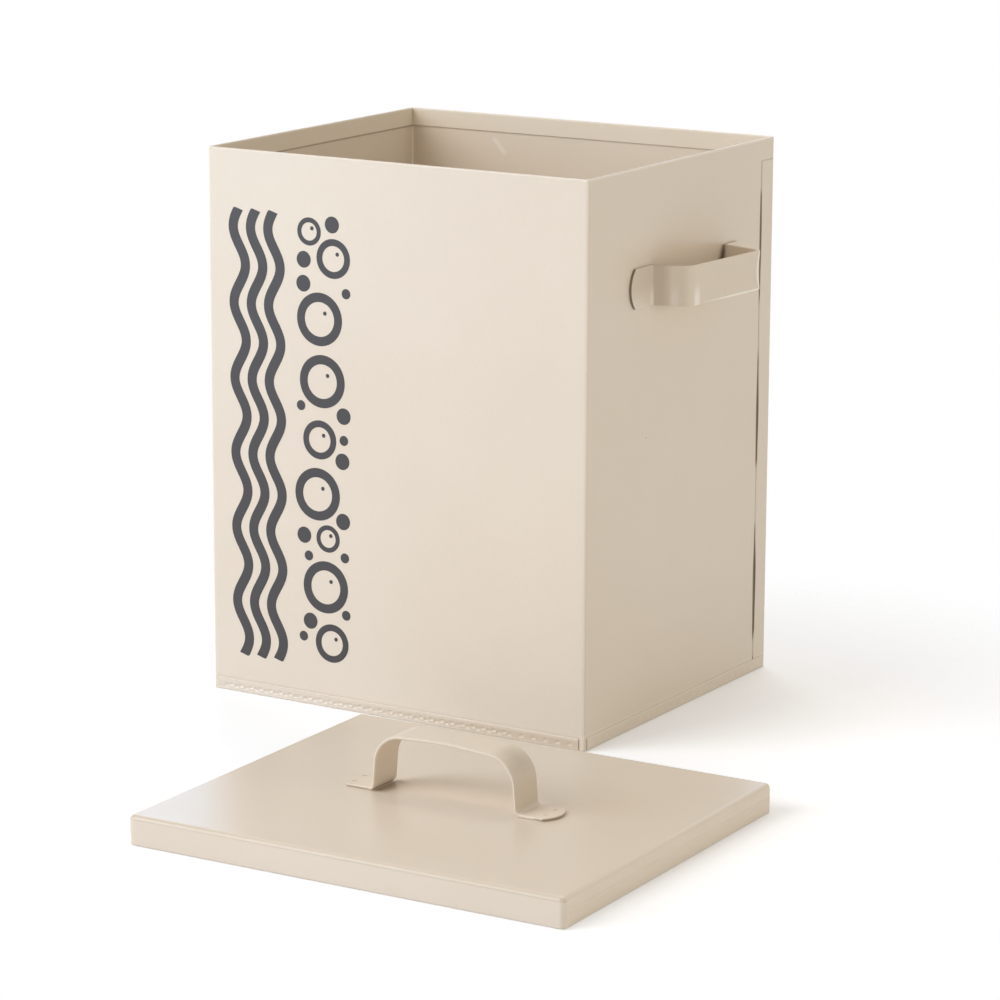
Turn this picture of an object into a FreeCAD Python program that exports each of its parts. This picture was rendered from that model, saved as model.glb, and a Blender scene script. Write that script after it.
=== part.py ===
"""Detergent storage box: a folded steel box with a slip-over lid, which lies beside it.

Millimetres, +Z up. The origin is the middle of the box's underside, and its front faces -Y.
Every piece is bent from flat stock, so each one is drawn as a centre line that gets a thickness.
"""
import FreeCAD, Part
import math
import os

V = FreeCAD.Vector

# ---------------------------------------------------------------- driving dimensions
# Stock
SHEET = 0.5                 # painted steel of the box and the lid
LAYER_GAP = 0.05            # left between two layers of a seam that are pressed together

# Box body, outside sizes
BODY_WIDTH = 189.0          # along X
BODY_DEPTH = 162.0          # along Y
BODY_HEIGHT = 240.0         # from the floor to the top of the rim
CORNER_RADIUS = 1.6         # outside radius of the upright corners
CORNER_SAG = 0.1            # flat facets of the folds' tight corners, off the true round

# Hem round the rim, folded in and down
HEM_DEPTH = 8.0
HEM_GAP = 0.25              # air between the wall and the folded layer
MITRE_SLIT = 0.2            # where two hems meet in a corner

# Upright lap joint, on the right wall beside the back corner. Both sheets are flush outside
LAP_SETBACK = 12.0          # from the back face to the end of the outer sheet
LAP_OVERLAP = 9.0           # how far the inner sheet runs on behind the outer one
LAP_GAP = 0.3               # between the outer sheet's end and the other sheet's step
LAP_STEP = 1.1              # length over which the inner sheet steps in
LAP_BEND = 0.8
LAP_HEAD = 9.5              # the joint ends this far below the rim
LAP_NICK = 0.2              # height and depth of the cut from there to the corner

# Bottom seam: the plate's edges turn up outside the walls, which step in behind them
SEAM_HEIGHT = 5.6
SEAM_END = 2.4              # bare length beside each upright corner
SEAM_SLIT = 0.3             # between the end of a turned edge and the wall's full face
SEAM_PROUD = 0.45           # how far the turned edge stands out from the wall
SEAM_HEEL = 0.8             # bend radius of the turned edge, to the middle of the sheet
SEAM_BEVEL_DROP = 0.6       # its upper edge is worn and rolled to a bevel
SEAM_BEVEL_IN = 0.3
STEP_OVER_SEAM = 0.9        # the wall starts to step in this far above the turned edge
STEP_RUN = 0.7
STEP_BEND = 2.0
LAP_OVER_STEP = 0.3         # and the upright joint ends this far above the step

# Bites of the closing tool, which pin each turned edge to its wall
BITE_HALF_WIDTH = 1.3
BITE_HALF_HEIGHT = 0.85
BITE_TIP = 0.35             # the tool's tip, as a share of the bite
BITE_DEPTH = 0.26
BITE_LIGHT_DEPTH = 0.12     # on the other three sides
BITE_LEVEL = 2.7            # middle of a bite above the floor
BITE_STAGGER = 0.3          # up and down from there, where they are close
BITE_PITCH = 5.9            # where the tool was moved on steadily
BITE_FINE_PITCH = 2.6       # where the front seam was gone over again
BITE_STEADY_COUNT = 5       # bites at the right end of the front seam before the pitch closes up
BITE_MARGIN = 4.0           # bare length at each end of a seam

# Lid, a pan that slips over the rim
LID_CLEARANCE = 0.85        # between the box and the inside of the lid's hem, each side
LID_HEIGHT = 12.0
LID_EDGE_RADIUS = 2.0       # outside radius along the top edge
LID_CORNER_RADIUS = 2.2     # outside radius of the upright corners
LID_HEM_DEPTH = 5.5
LID_HEM_GAP = 0.15
WITNESS_HEIGHT = 6.6        # faint crease over the hem, on the right skirt
WITNESS_WIDTH = 0.9
WITNESS_DEPTH = 0.15

# Where the lid lies, in front of the box
LID_GAP = 32.4              # from the box's front face to the back of the lid
LID_SHIFT = 103.6           # to the right of the box's middle
LID_TURN = 1.0              # degrees about Z

# Strap handles, three of the same strip
STRAP_WIDTH = 17.0
STRAP_THICKNESS = 1.2
STRAP_HALF_LENGTH = 48.0    # from the middle of a bent handle to the end of a foot
STRAP_EDGE_BREAK = 0.35     # bevel along its long edges
FOOT_END_SAG = 3.8          # how far the round end of a foot stands out from its corners
FOOT_BEND = 2.1             # bend radius, to the middle of the strip, above a foot

# Side handles: lengths along Y, and heights off the wall
SIDE_HANDLE_DROP = 50.0     # middle of the strap below the rim
SIDE_HANDLE_OFFSET = 1.0    # middle of the handle behind the middle of the wall
SIDE_FRONT_FOOT = 17.4
SIDE_BACK_FOOT = 13.9
SIDE_LEG_LEAN = 6.0         # how far each leg leans in towards the middle
SIDE_RISE_FRONT = 16.8      # outside of the grip off the wall, at its front bend
SIDE_RISE_BACK = 21.3       # and at its back bend
SIDE_KINK_OFFSET = 0.9      # a slight kink halfway up the front leg
SIDE_KINK_BEND = 6.0
SIDE_FRONT_BEND = 5.5
SIDE_BACK_BEND = 1.8
SIDE_BACK_DISH = 2.0        # extra radius of the back bend in the middle of the strip

# Lid handle: lengths along X, and heights off the lid
LID_FOOT = 15.6
LID_LEG_LEAN = 1.8
LID_RISE_LEFT = 23.6        # outside of the grip off the lid, at its left bend
LID_RISE_RIGHT = 22.6       # and at its right bend, which is squeezed a little lower
LID_RISE_MIDDLE = 24.7
LID_TOP_BEND = 12.0
ARCH_RADIUS = 120.0         # of the slow bend in the middle of the grip

# Spot welds on the feet of the lid handle
WELD_RADIUS = 1.1
WELD_DEPTH = 0.2
WELD_SPACING = 7.5
WELD_FROM_END = 4.6

# ---------------------------------------------------------------- worked-out sizes
HALF_SHEET = SHEET / 2
LAYER_PITCH = SHEET + LAYER_GAP
FRONT = 3                               # sides are numbered from the right one, anticlockwise
WALL_FOOT = SHEET + LAYER_GAP           # the corners stand this far off the floor, on the plate
SEAM_STEP = WALL_FOOT - SEAM_PROUD      # how far the wall steps in behind a turned edge
STEP_TOP = SEAM_HEIGHT + STEP_OVER_SEAM
LAP_FOOT = STEP_TOP + LAP_OVER_STEP
LID_GROWTH = LID_CLEARANCE + 2 * SHEET + LID_HEM_GAP
LID_WIDTH = BODY_WIDTH + 2 * LID_GROWTH
LID_DEPTH = BODY_DEPTH + 2 * LID_GROWTH


# ---------------------------------------------------------------- bent stock
def unit(vector):
    return V(vector).normalize()


def left_of(direction):
    return V(-direction.y, direction.x, 0)


def bent_side(points, radii, offset):
    """Edges that run beside a bent centre line, at a distance to its left."""
    edges = []
    start = points[0] + left_of(unit(points[1] - points[0])) * offset
    for here, before, after, radius in zip(points[1:-1], points[:-2], points[2:], radii):
        along_in = unit(here - before)
        along_out = unit(after - here)
        turn = math.atan2(along_in.cross(along_out).z, along_in.dot(along_out))
        side = math.copysign(1, turn)
        tangent = radius * math.tan(abs(turn) / 2)
        centre = here - along_in * tangent + left_of(along_in) * (side * radius)
        reach = radius - side * offset
        bend_start = centre - left_of(along_in) * (side * reach)
        bend_end = centre - left_of(along_out) * (side * reach)
        bend_middle = centre + unit(here - centre) * reach
        if (bend_start - start).Length > 1e-6:
            edges.append(Part.makeLine(start, bend_start))
        edges.append(Part.Arc(bend_start, bend_middle, bend_end).toShape())
        start = bend_end
    end = points[-1] + left_of(unit(points[-1] - points[-2])) * offset
    edges.append(Part.makeLine(start, end))
    return edges


def bent_section(points, radii, thickness):
    """Closed outline, in the XY plane, of stock that follows a bent centre line."""
    points = [V(x, y, 0) for x, y in points]
    left = bent_side(points, radii, thickness / 2)
    right = bent_side(points, radii, -thickness / 2)
    caps = [Part.makeLine(left[0].Vertexes[0].Point, right[0].Vertexes[0].Point),
            Part.makeLine(left[-1].Vertexes[1].Point, right[-1].Vertexes[1].Point)]
    return Part.Wire(Part.__sortEdges__(left + right + caps))


def with_chords(section):
    """The same section with a few chords for each of its arcs."""
    lines = []
    for edge in section.Edges:
        steps = 1
        if isinstance(edge.Curve, Part.Circle):
            radius = edge.Curve.Radius
            chord_turn = 2 * math.acos(max(0, 1 - CORNER_SAG / radius))
            steps = math.ceil(edge.Length / radius / chord_turn)
        stops = edge.discretize(Number=steps + 1)
        lines.extend(Part.makeLine(one, other) for one, other in zip(stops, stops[1:]))
    return Part.Face(Part.Wire(Part.__sortEdges__(lines)))


def upright_section(points, radii, thickness):
    """A section that stands in the XZ plane: its points are (outwards, up)."""
    face = Part.Face(bent_section(points, radii, thickness))
    face.rotate(V(0, 0, 0), V(1, 0, 0), 90)
    return face


def side_halves(width, depth, side):
    """Half the size across a side, and half the side's length."""
    if side % 2 == 0:
        return width / 2, depth / 2
    return depth / 2, width / 2


def run_along(section, width, depth, side, end_gap):
    """Carries a section straight along one side, and stops short of both corners."""
    out, half = side_halves(width, depth, side)
    run = section.extrude(V(0, 2 * (half - end_gap), 0))
    run.translate(V(out, end_gap - half, 0))
    run.rotate(V(0, 0, 0), V(0, 0, 1), 90 * side)
    return run


def turn_corner(section, width, depth, side, radius):
    """Carries a section round the corner at the end of one side."""
    out, half = side_halves(width, depth, side)
    start = section.copy()
    start.translate(V(radius, 0, 0))
    turn = start.revolve(V(0, 0, 0), V(0, 0, 1), 90)
    turn.translate(V(out - radius, half - radius, 0))
    turn.rotate(V(0, 0, 0), V(0, 0, 1), 90 * side)
    return turn


def carry_round(section, width, depth, radius):
    """Carries a section round a rectangle with round corners."""
    corner_section = with_chords(section)
    pieces = []
    for side in range(4):
        pieces.append(run_along(section, width, depth, side, radius))
        pieces.append(turn_corner(corner_section, width, depth, side, radius))
    return pieces[0].fuse(pieces[1:]).removeSplitter()


def corner_slits(width, depth, radius, reach, foot, head):
    """Thin upright blades on the corners' diagonals, to part the folded layers there."""
    blades = []
    for side in range(4):
        out, half = side_halves(width, depth, side)
        blade = Part.makeBox(reach, MITRE_SLIT, head - foot, V(0, -MITRE_SLIT / 2, foot))
        blade.rotate(V(0, 0, 0), V(0, 0, 1), 45)
        blade.translate(V(out - radius, half - radius, 0))
        blade.rotate(V(0, 0, 0), V(0, 0, 1), 90 * side)
        blades.append(blade)
    return blades


# ---------------------------------------------------------------- box body
def rim():
    """Top band of the walls: up, over and down again on the inside."""
    wall = -HALF_SHEET
    layer = wall - SHEET - HEM_GAP
    top = BODY_HEIGHT - HALF_SHEET
    fold = (wall - layer) / 2
    section = upright_section([(wall, BODY_HEIGHT - LAP_HEAD), (wall, top), (layer, top),
                               (layer, BODY_HEIGHT - HEM_DEPTH)], [fold, fold], SHEET)
    band = carry_round(section, BODY_WIDTH, BODY_DEPTH, CORNER_RADIUS)
    slits = corner_slits(BODY_WIDTH, BODY_DEPTH, CORNER_RADIUS, CORNER_RADIUS - SHEET - HEM_GAP / 2,
                         BODY_HEIGHT - HEM_DEPTH - SHEET, BODY_HEIGHT - 2 * SHEET)
    return band.cut(slits)


def lapped_walls():
    """The wall sheet in plan: from the lap's free edge round the box, to end inside the lap."""
    right = BODY_WIDTH / 2 - HALF_SHEET
    left = -right
    back = BODY_DEPTH / 2 - HALF_SHEET
    front = -back
    inner = right - LAYER_PITCH
    lap_edge = BODY_DEPTH / 2 - LAP_SETBACK
    step_start = lap_edge + LAP_GAP
    bend = CORNER_RADIUS - HALF_SHEET
    plan = bent_section([(right, lap_edge), (right, front), (left, front), (left, back),
                         (right, back), (right, step_start + LAP_STEP), (inner, step_start),
                         (inner, lap_edge - LAP_OVERLAP)], [bend] * 4 + [LAP_BEND] * 2, SHEET)
    head = BODY_HEIGHT - HEM_DEPTH - LAYER_GAP
    walls = Part.Face(plan).extrude(V(0, 0, head - LAP_FOOT))
    walls.translate(V(0, 0, LAP_FOOT))
    return walls


def lap_nick():
    """Cutter for the short level cut at the top of the lap joint."""
    lap_edge = BODY_DEPTH / 2 - LAP_SETBACK
    return Part.makeBox(SHEET, LAP_SETBACK, LAP_NICK,
                        V(BODY_WIDTH / 2 - LAP_NICK, lap_edge, BODY_HEIGHT - LAP_HEAD - LAP_NICK))


def foot_band():
    """Lowest band of the walls, which closes the lap at its foot."""
    section = upright_section([(-HALF_SHEET, WALL_FOOT), (-HALF_SHEET, LAP_FOOT)], [], SHEET)
    return carry_round(section, BODY_WIDTH, BODY_DEPTH, CORNER_RADIUS)


def seam_step(side):
    """The strip of wall behind one turned edge, stepped in."""
    recessed = -HALF_SHEET - SEAM_STEP
    section = upright_section([(-HALF_SHEET, LAP_FOOT), (-HALF_SHEET, STEP_TOP),
                               (recessed, STEP_TOP - STEP_RUN), (recessed, HALF_SHEET + SEAM_HEEL)],
                              [STEP_BEND, STEP_BEND], SHEET)
    return run_along(section, BODY_WIDTH, BODY_DEPTH, side, SEAM_END - SEAM_SLIT)


def seam_relief(side):
    """Takes away the plain wall where that strip goes."""
    inside = -SHEET - LAYER_GAP / 2
    section = Part.Face(Part.makePolygon([V(inside, 0, 0), V(SHEET, 0, 0), V(SHEET, 0, LAP_FOOT),
                                          V(inside, 0, LAP_FOOT), V(inside, 0, 0)]))
    return run_along(section, BODY_WIDTH, BODY_DEPTH, side, SEAM_END - SEAM_SLIT)


def body_shell():
    foot = foot_band().cut([seam_relief(side) for side in range(4)])
    foot = foot.fuse([seam_step(side) for side in range(4)])
    return lapped_walls().fuse([rim(), foot]).removeSplitter().cut(lap_nick())


# ---------------------------------------------------------------- bottom plate
def bite_places(side):
    """Places of the tool's bites along one seam, and how far each is off the seam's middle.

    On the front they close up leftwards, where the tool went over the seam twice.
    """
    half = side_halves(BODY_WIDTH, BODY_DEPTH, side)[1]
    last = SEAM_END + BITE_MARGIN - half
    place = -last
    places = []
    while place > last:
        steady = side != FRONT or len(places) < BITE_STEADY_COUNT
        lift = 0 if steady else BITE_STAGGER * (-1) ** len(places)
        places.append((place, lift))
        place -= BITE_PITCH if steady else BITE_FINE_PITCH
    return places


def bites(side):
    """Cutters for the bites in the outer face of one turned edge: blunt four-sided points."""
    face = side_halves(BODY_WIDTH, BODY_DEPTH, side)[0] + SEAM_PROUD
    depth = BITE_DEPTH if side == FRONT else BITE_LIGHT_DEPTH
    tip_width = BITE_HALF_WIDTH * BITE_TIP
    tip_height = BITE_HALF_HEIGHT * BITE_TIP
    wide = 2 * BITE_HALF_WIDTH - tip_width
    high = 2 * BITE_HALF_HEIGHT - tip_height
    cutters = []
    for place, lift in bite_places(side):
        point = Part.makeWedge(-wide, 0, -high, -tip_height, -tip_width,
                               wide, 2 * depth, high, tip_height, tip_width)
        point.rotate(V(0, 0, 0), V(0, 0, 1), 90)
        point.translate(V(face + depth, place, BITE_LEVEL + lift))
        point.rotate(V(0, 0, 0), V(0, 0, 1), 90 * side)
        cutters.append(point)
    return cutters


def turned_edge():
    """Section of the plate's edge: out, and up outside the wall, to a bevelled top."""
    outer = SEAM_PROUD - HALF_SHEET
    section = upright_section([(-CORNER_RADIUS, HALF_SHEET), (outer, HALF_SHEET),
                               (outer, SEAM_HEIGHT)], [SEAM_HEEL], SHEET)
    bevel = Part.Face(Part.makePolygon([V(SEAM_PROUD, 0, SEAM_HEIGHT - SEAM_BEVEL_DROP),
                                        V(SEAM_PROUD, 0, SEAM_HEIGHT),
                                        V(SEAM_PROUD - SEAM_BEVEL_IN, 0, SEAM_HEIGHT),
                                        V(SEAM_PROUD, 0, SEAM_HEIGHT - SEAM_BEVEL_DROP)]))
    return section.cut(bevel).Faces[0]


def bottom_plate():
    """Flat plate whose four edges turn up outside the walls."""
    edge = turned_edge()
    edges = [run_along(edge, BODY_WIDTH, BODY_DEPTH, side, SEAM_END) for side in range(4)]
    rim_section = upright_section([(-CORNER_RADIUS, HALF_SHEET), (0, HALF_SHEET)], [], SHEET)
    rim_band = carry_round(rim_section, BODY_WIDTH, BODY_DEPTH, CORNER_RADIUS)
    inset_width = BODY_WIDTH - 2 * CORNER_RADIUS
    inset_depth = BODY_DEPTH - 2 * CORNER_RADIUS
    floor = Part.makeBox(inset_width, inset_depth, SHEET, V(-inset_width / 2, -inset_depth / 2, 0))
    plate = floor.fuse([rim_band] + edges).removeSplitter()
    return plate.cut([bite for side in range(4) for bite in bites(side)])


# ---------------------------------------------------------------- straps
def strap(points, radii, dishes):
    """A flat strap bent along points, in the XY plane, with its width along Z.

    It is ruled between five profiles: its two thin edges, the lines where their bevels end,
    and its middle, where a dished bend has a wider radius.
    """
    half = STRAP_WIDTH / 2
    thin = STRAP_THICKNESS - 2 * STRAP_EDGE_BREAK
    middle_radii = [radius + dish for radius, dish in zip(radii, dishes)]
    profiles = []
    for across, bends, thickness in ((-half, radii, thin),
                                     (STRAP_EDGE_BREAK - half, radii, STRAP_THICKNESS),
                                     (0, middle_radii, STRAP_THICKNESS),
                                     (half - STRAP_EDGE_BREAK, radii, STRAP_THICKNESS),
                                     (half, radii, thin)):
        profile = bent_section(points, bends, thickness)
        profile.translate(V(0, 0, across))
        profiles.append(profile)
    return Part.makeLoft(profiles, True, True).removeSplitter()


def foot_outline(rise):
    """Block with round ends, to trim a strap's feet: along X, its width along Z."""
    half = STRAP_WIDTH / 2
    end = STRAP_HALF_LENGTH
    shoulder = end - FOOT_END_SAG
    corners = [V(-shoulder, 0, -half), V(shoulder, 0, -half), V(shoulder, 0, half), V(-shoulder, 0, half)]
    edges = [Part.makeLine(corners[0], corners[1]),
             Part.Arc(corners[1], V(end, 0, 0), corners[2]).toShape(),
             Part.makeLine(corners[2], corners[3]),
             Part.Arc(corners[3], V(-end, 0, 0), corners[0]).toShape()]
    block = Part.Face(Part.Wire(edges)).extrude(V(0, rise + 2 * STRAP_THICKNESS, 0))
    block.translate(V(0, -STRAP_THICKNESS, 0))
    return block


def side_strap():
    """Side handle along X with its wall at Y = 0 and its front foot at -X."""
    middle = STRAP_THICKNESS / 2
    end = STRAP_HALF_LENGTH
    ankle = V(SIDE_FRONT_FOOT - end, middle, 0)
    knee = ankle + V(SIDE_LEG_LEAN, SIDE_RISE_FRONT - STRAP_THICKNESS, 0)
    kink = (ankle + knee) / 2 + left_of(unit(knee - ankle)) * SIDE_KINK_OFFSET
    back = end - SIDE_BACK_FOOT
    points = [(-end, middle), (ankle.x, ankle.y), (kink.x, kink.y), (knee.x, knee.y),
              (back - SIDE_LEG_LEAN, SIDE_RISE_BACK - middle), (back, middle), (end, middle)]
    radii = [FOOT_BEND, SIDE_KINK_BEND, SIDE_FRONT_BEND, SIDE_BACK_BEND, FOOT_BEND]
    bar = strap(points, radii, [0, 0, 0, SIDE_BACK_DISH, 0])
    return bar.common(foot_outline(SIDE_RISE_BACK))


def side_handle(right):
    """Stands the strap against one side wall."""
    handle = side_strap()
    handle.rotate(V(0, 0, 0), V(0, 0, 1), -90)
    handle = handle.mirror(V(0, 0, 0), V(0, 1, 0))
    handle.translate(V(BODY_WIDTH / 2, SIDE_HANDLE_OFFSET, BODY_HEIGHT - SIDE_HANDLE_DROP))
    if right:
        return handle
    return handle.mirror(V(0, 0, 0), V(1, 0, 0))


# ---------------------------------------------------------------- lid
def place_lid(shape):
    """Takes a piece of the lid, drawn about its own middle, to where the lid lies."""
    shape.rotate(V(0, 0, 0), V(0, 0, 1), LID_TURN)
    shape.translate(V(LID_SHIFT, -(BODY_DEPTH / 2 + LID_GAP + LID_DEPTH / 2), 0))
    return shape


def witness_crease():
    """Shallow groove along the right skirt."""
    half = WITNESS_WIDTH / 2
    section = Part.Face(Part.makePolygon([V(SHEET, 0, WITNESS_HEIGHT - half),
                                          V(0, 0, WITNESS_HEIGHT - half),
                                          V(-WITNESS_DEPTH, 0, WITNESS_HEIGHT),
                                          V(0, 0, WITNESS_HEIGHT + half),
                                          V(SHEET, 0, WITNESS_HEIGHT + half),
                                          V(SHEET, 0, WITNESS_HEIGHT - half)]))
    return run_along(section, LID_WIDTH, LID_DEPTH, 0, LID_CORNER_RADIUS)


def lid_shell():
    """Flat top, a round edge, the skirt, and a hem folded up inside it."""
    skirt = -HALF_SHEET
    layer = skirt - SHEET - LID_HEM_GAP
    top = LID_HEIGHT - HALF_SHEET
    fold = (skirt - layer) / 2
    section = upright_section([(-LID_CORNER_RADIUS, top), (skirt, top), (skirt, HALF_SHEET),
                               (layer, HALF_SHEET), (layer, LID_HEM_DEPTH)],
                              [LID_EDGE_RADIUS - HALF_SHEET, fold, fold], SHEET)
    edge = carry_round(section, LID_WIDTH, LID_DEPTH, LID_CORNER_RADIUS)
    inset_width = LID_WIDTH - 2 * LID_CORNER_RADIUS
    inset_depth = LID_DEPTH - 2 * LID_CORNER_RADIUS
    panel = Part.makeBox(inset_width, inset_depth, SHEET,
                         V(-inset_width / 2, -inset_depth / 2, LID_HEIGHT - SHEET))
    slits = corner_slits(LID_WIDTH, LID_DEPTH, LID_CORNER_RADIUS,
                         LID_CORNER_RADIUS - SHEET - LID_HEM_GAP / 2, 2 * SHEET, LID_HEM_DEPTH + SHEET)
    shell = edge.fuse(panel).removeSplitter().cut(slits + [witness_crease()])
    return place_lid(shell)


def weld_marks(foot_end):
    """Cutters for the two shallow round dents that spot welding leaves in a foot."""
    along = foot_end - math.copysign(WELD_FROM_END, foot_end)
    floor = STRAP_THICKNESS - WELD_DEPTH
    return [Part.makeCylinder(WELD_RADIUS, STRAP_THICKNESS, V(along, floor, across), V(0, 1, 0))
            for across in (-WELD_SPACING / 2, WELD_SPACING / 2)]


def lid_handle():
    """Bowed strap that stands on the lid, along X."""
    middle = STRAP_THICKNESS / 2
    end = STRAP_HALF_LENGTH
    ankle = end - LID_FOOT
    knee = ankle - LID_LEG_LEAN
    points = [(-end, middle), (-ankle, middle), (-knee, LID_RISE_LEFT - middle),
              (0, LID_RISE_MIDDLE - middle), (knee, LID_RISE_RIGHT - middle),
              (ankle, middle), (end, middle)]
    radii = [FOOT_BEND, LID_TOP_BEND, ARCH_RADIUS, LID_TOP_BEND, FOOT_BEND]
    handle = strap(points, radii, [0, 0, 0, 0, 0])
    handle = handle.common(foot_outline(LID_RISE_MIDDLE))
    handle = handle.cut(weld_marks(-end) + weld_marks(end))
    handle.rotate(V(0, 0, 0), V(1, 0, 0), 90)
    handle.translate(V(0, 0, LID_HEIGHT))
    return place_lid(handle)


# ---------------------------------------------------------------- files
PIECES = {
    "body_shell": body_shell,
    "bottom_plate": bottom_plate,
    "side_handle_right": lambda: side_handle(True),
    "side_handle_left": lambda: side_handle(False),
    "lid_shell": lid_shell,
    "lid_handle": lid_handle,
}

os.makedirs("parts", exist_ok=True)
for name, make in PIECES.items():
    piece = make()
    piece.exportStep("parts/" + name + ".step")
    box = piece.BoundBox
    print(name, "solids", len(piece.Solids), "valid", piece.isValid(), "volume", round(piece.Volume, 1),
          "x", round(box.XMin, 2), round(box.XMax, 2), "y", round(box.YMin, 2), round(box.YMax, 2),
          "z", round(box.ZMin, 2), round(box.ZMax, 2))
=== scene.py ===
# %% [markdown]
# # A painted steel box for laundry powder
#
# The object is a tall box folded from thin steel sheet, with a strap handle welded to each side,
# and a shallow lid that slips over the rim. The lid is taken off and lies on the floor in front.
# Every piece of steel is already modelled to size, so this script gives it what the eye looks for:
# the soft gloss of the enamel, marks of use, painted shade and painted highlights, the ink on the
# front, and studio light.
#
# All lengths are in metres. The small ones are written as so many times `MM`, so that they can be
# checked with a ruler.
#
# ## The steel pieces
#
# Loading the frame brings in one mesh for each piece of steel, already in its place. The pieces are
# never moved or reshaped here. Their boxes tell where a wall, a rim or a strap is, so that the marks
# and the ink follow the steel.

# %% Load the steel pieces
import math
import random

import bmesh
import bpy
from mathutils import Matrix, Vector


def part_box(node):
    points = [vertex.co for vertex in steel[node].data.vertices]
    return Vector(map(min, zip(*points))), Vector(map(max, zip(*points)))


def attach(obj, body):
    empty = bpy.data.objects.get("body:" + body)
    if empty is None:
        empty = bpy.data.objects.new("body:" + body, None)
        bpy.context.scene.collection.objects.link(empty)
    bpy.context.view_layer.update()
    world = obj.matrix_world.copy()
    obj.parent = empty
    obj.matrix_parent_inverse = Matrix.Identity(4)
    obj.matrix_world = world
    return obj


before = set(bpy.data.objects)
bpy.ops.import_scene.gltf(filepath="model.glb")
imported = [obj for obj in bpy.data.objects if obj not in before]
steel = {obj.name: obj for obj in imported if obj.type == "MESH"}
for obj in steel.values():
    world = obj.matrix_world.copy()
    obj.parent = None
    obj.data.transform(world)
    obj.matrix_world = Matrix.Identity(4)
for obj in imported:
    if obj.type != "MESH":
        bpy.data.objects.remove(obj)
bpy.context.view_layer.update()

MM = 0.001
for piece_name in sorted(steel):
    low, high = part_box(piece_name)
    print(piece_name, "is", [round(side / MM) for side in high - low], "mm")

# %% [markdown]
# ## Where the viewer stands
#
# The camera is far away with a long lens, as in catalogue pictures: the box's upright edges stay
# nearly parallel, and the near and the far side have almost the same scale. A place on a sphere
# round the box is easier to think about than three coordinates, so the camera is given by the
# compass angle it stands at, its height above the horizon in degrees, and its distance.

# %% Place the camera
CAMERA_AZIMUTH = 31.467
CAMERA_ELEVATION = 12.882
CAMERA_ROLL = 0.2235
CAMERA_DISTANCE = 1.6
CAMERA_LENS = 138.586
CAMERA_AIM = Vector((0.0541, -0.0824, 0.1032))


def direction_to(azimuth, elevation):
    """Unit vector from the box to a place. Azimuth 0 is in front, and 90 on its right."""
    turn, lift = math.radians(azimuth), math.radians(elevation)
    return Vector((math.sin(turn) * math.cos(lift), -math.cos(turn) * math.cos(lift), math.sin(lift)))


def turned(axis, degrees):
    """A turn about one axis."""
    return Matrix.Rotation(math.radians(degrees), 4, axis)


camera = bpy.data.objects.new("camera", bpy.data.cameras.new("camera"))
camera.data.lens = CAMERA_LENS
camera.data.clip_start = 0.05
camera.data.clip_end = 50
camera_place = CAMERA_AIM + CAMERA_DISTANCE * direction_to(CAMERA_AZIMUTH, CAMERA_ELEVATION)
camera.matrix_world = (Matrix.Translation(camera_place) @ turned("Z", CAMERA_AZIMUTH)
                       @ turned("X", 90 - CAMERA_ELEVATION) @ turned("Z", CAMERA_ROLL))
bpy.context.scene.collection.objects.link(camera)
bpy.context.scene.camera = camera
print("camera at", [round(value, 3) for value in camera_place])

# %% [markdown]
# ## Small helpers for building materials
#
# A procedural material is a graph of small steps. Helpers keep the graphs readable: `add_node` adds
# a node and fills in or connects its inputs, and each of the others does one step of the work. An
# input can be a number, a colour or another node's output.

# %% Node helpers
def colour(red, green, blue):
    """A colour as a picture editor gives it, 0 to 255, turned into linear light."""
    linear = [((value / 255 + 0.055) / 1.055) ** 2.4 if value > 10 else value / 255 / 12.92
              for value in (red, green, blue)]
    return (*linear, 1)


def add_node(tree, kind, inputs=(), **settings):
    """Adds a node, sets its options, and fills its inputs by name or number."""
    node = tree.nodes.new("ShaderNode" + kind)
    for option, value in settings.items():
        setattr(node, option, value)
    for socket, value in dict(inputs).items():
        if isinstance(value, bpy.types.NodeSocket):
            tree.links.new(value, node.inputs[socket])
        else:
            node.inputs[socket].default_value = value
    return node


def maths(tree, operation, *values, clamp=False):
    """One step of arithmetic."""
    node = add_node(tree, "Math", dict(enumerate(values)), operation=operation, use_clamp=clamp)
    return node.outputs[0]


def spread(tree, value, low, high, out_low=0.0, out_high=1.0, smooth=False):
    """Stretches the range low to high into out_low to out_high, and clips the rest."""
    node = add_node(tree, "MapRange", {"Value": value, "From Min": low, "From Max": high,
                                       "To Min": out_low, "To Max": out_high},
                    interpolation_type="SMOOTHSTEP" if smooth else "LINEAR")
    return node.outputs["Result"]


def blended(tree, amount, under, over):
    """Lays one colour over another. A Mix node's colours are sockets 6 and 7, and its output 2."""
    return add_node(tree, "Mix", {0: amount, 6: under, 7: over}, data_type="RGBA").outputs[2]


def scaled(tree, vector, factor):
    """A colour or a direction, times a number."""
    return add_node(tree, "VectorMath", {0: vector, "Scale": factor}, operation="SCALE").outputs[0]


def distance_to(tree, place, spot):
    """How far a place is from a spot."""
    return add_node(tree, "VectorMath", {0: place, 1: spot}, operation="DISTANCE").outputs["Value"]


print("middle grey is", round(colour(128, 128, 128)[0], 3), "in linear light")

# %% Noise helpers
def noise(tree, place, size, detail, roughness=0.5):
    """Soft noise whose blotches are about `size` metres across. Its values lie round 0.5."""
    node = add_node(tree, "TexNoise", {"Vector": place, "Scale": 1 / size, "Detail": detail,
                                       "Roughness": roughness})
    return node.outputs["Fac"]


def drift(tree, place, size, detail, low, high, span=0.2, roughness=0.5):
    """Noise that wanders from low to high. The span is how far it strays from 0.5 by itself."""
    return spread(tree, noise(tree, place, size, detail, roughness), 0.5 - span, 0.5 + span, low, high)


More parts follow.
